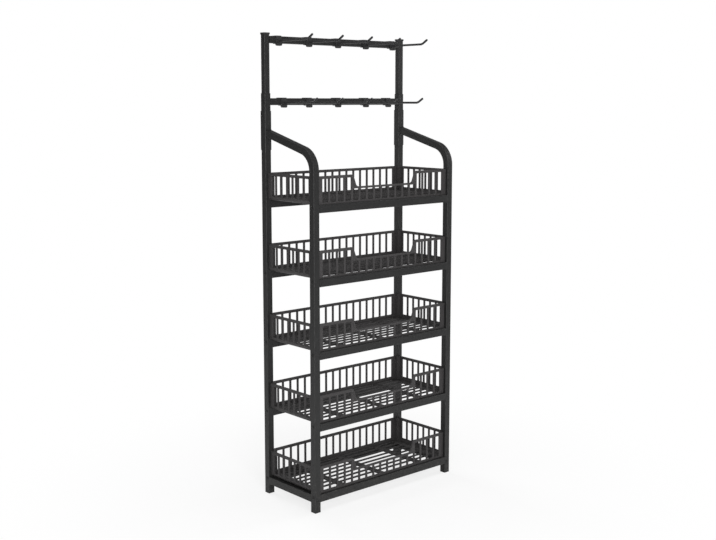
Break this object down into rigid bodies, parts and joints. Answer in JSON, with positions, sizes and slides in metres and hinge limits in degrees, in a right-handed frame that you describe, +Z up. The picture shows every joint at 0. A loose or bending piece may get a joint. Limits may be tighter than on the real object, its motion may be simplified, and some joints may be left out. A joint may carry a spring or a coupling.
{
  "type": "retail display rack",
  "caption": "Tall free-standing shop rack with slotted baskets between tube posts, bent front posts and sliding hooks on cross bars above.",
  "frame": {"origin": "centre of the footprint, on the floor under the feet", "axes": "+Z up, -Y towards the shopper at the front, +X to the right seen from the front"},
  "size_m": [0.6926, 0.3029, 1.705],
  "materials": {
    "frame_steel": "charcoal-black powder coat, semi-matt",
    "basket_plastic": "moulded black plastic, fine matt texture",
    "hook_plastic": "moulded black plastic, satin",
    "plug_plastic": "moulded black plastic, matt",
    "screw_steel": "black coated steel"
  },
  "bodies": {
    "rack": {"rear_post_left": "frame_steel", "rear_post_right": "frame_steel", "rear_extension_left": "frame_steel", "rear_extension_right": "frame_steel", "front_post_left": "frame_steel", "front_post_right": "frame_steel", "arm_sleeve_left": "frame_steel", "arm_sleeve_right": "frame_steel", "front_rail_1": "frame_steel", "front_rail_2": "frame_steel", "front_rail_3": "frame_steel", "front_rail_4": "frame_steel", "front_rail_5": "frame_steel", "rear_rail_1": "frame_steel", "rear_rail_2": "frame_steel", "rear_rail_3": "frame_steel", "rear_rail_4": "frame_steel", "rear_rail_5": "frame_steel", "side_rail_left": "frame_steel", "side_rail_right": "frame_steel", "hook_bar_upper": "frame_steel", "hook_bar_lower": "frame_steel", "basket_1": "basket_plastic", "basket_2": "basket_plastic", "basket_3": "basket_plastic", "basket_4": "basket_plastic", "basket_5": "basket_plastic", "post_cap_left": "plug_plastic", "post_cap_right": "plug_plastic", "foot_front_left": "plug_plastic", "foot_front_right": "plug_plastic", "foot_rear_left": "plug_plastic", "foot_rear_right": "plug_plastic", "rail_screws": "screw_steel", "side_rail_screws": "screw_steel", "hook_bar_screws": "screw_steel", "sleeve_screws": "screw_steel", "basket_screws": "screw_steel"},
    "hook_upper_1_body": {"hook_upper_1": "hook_plastic"},
    "hook_upper_2_body": {"hook_upper_2": "hook_plastic"},
    "hook_upper_3_body": {"hook_upper_3": "hook_plastic"},
    "hook_upper_4_body": {"hook_upper_4": "hook_plastic"},
    "hook_upper_5_body": {"hook_upper_5": "hook_plastic"},
    "hook_lower_1_body": {"hook_lower_1": "hook_plastic"},
    "hook_lower_2_body": {"hook_lower_2": "hook_plastic"},
    "hook_lower_3_body": {"hook_lower_3": "hook_plastic"},
    "hook_lower_4_body": {"hook_lower_4": "hook_plastic"},
    "hook_lower_5_body": {"hook_lower_5": "hook_plastic"}
  },
  "joints": [
    {"name": "hook_upper_1_slide", "type": "slide", "parent": "rack", "child": "hook_upper_1_body", "axis": [1, 0, 0], "range_m": [-0.02, 0.05]},
    {"name": "hook_upper_2_slide", "type": "slide", "parent": "rack", "child": "hook_upper_2_body", "axis": [1, 0, 0], "range_m": [-0.05, 0.05]},
    {"name": "hook_upper_3_slide", "type": "slide", "parent": "rack", "child": "hook_upper_3_body", "axis": [1, 0, 0], "range_m": [-0.05, 0.05]},
    {"name": "hook_upper_4_slide", "type": "slide", "parent": "rack", "child": "hook_upper_4_body", "axis": [1, 0, 0], "range_m": [-0.05, 0.05]},
    {"name": "hook_upper_5_slide", "type": "slide", "parent": "rack", "child": "hook_upper_5_body", "axis": [1, 0, 0], "range_m": [-0.05, 0.02]},
    {"name": "hook_lower_1_slide", "type": "slide", "parent": "rack", "child": "hook_lower_1_body", "axis": [1, 0, 0], "range_m": [-0.04, 0.04]},
    {"name": "hook_lower_2_slide", "type": "slide", "parent": "rack", "child": "hook_lower_2_body", "axis": [1, 0, 0], "range_m": [-0.04, 0.05]},
    {"name": "hook_lower_3_slide", "type": "slide", "parent": "rack", "child": "hook_lower_3_body", "axis": [1, 0, 0], "range_m": [-0.05, 0.05]},
    {"name": "hook_lower_4_slide", "type": "slide", "parent": "rack", "child": "hook_lower_4_body", "axis": [1, 0, 0], "range_m": [-0.05, 0.04]},
    {"name": "hook_lower_5_slide", "type": "slide", "parent": "rack", "child": "hook_lower_5_body", "axis": [1, 0, 0], "range_m": [-0.04, 0.04]}
  ]
}
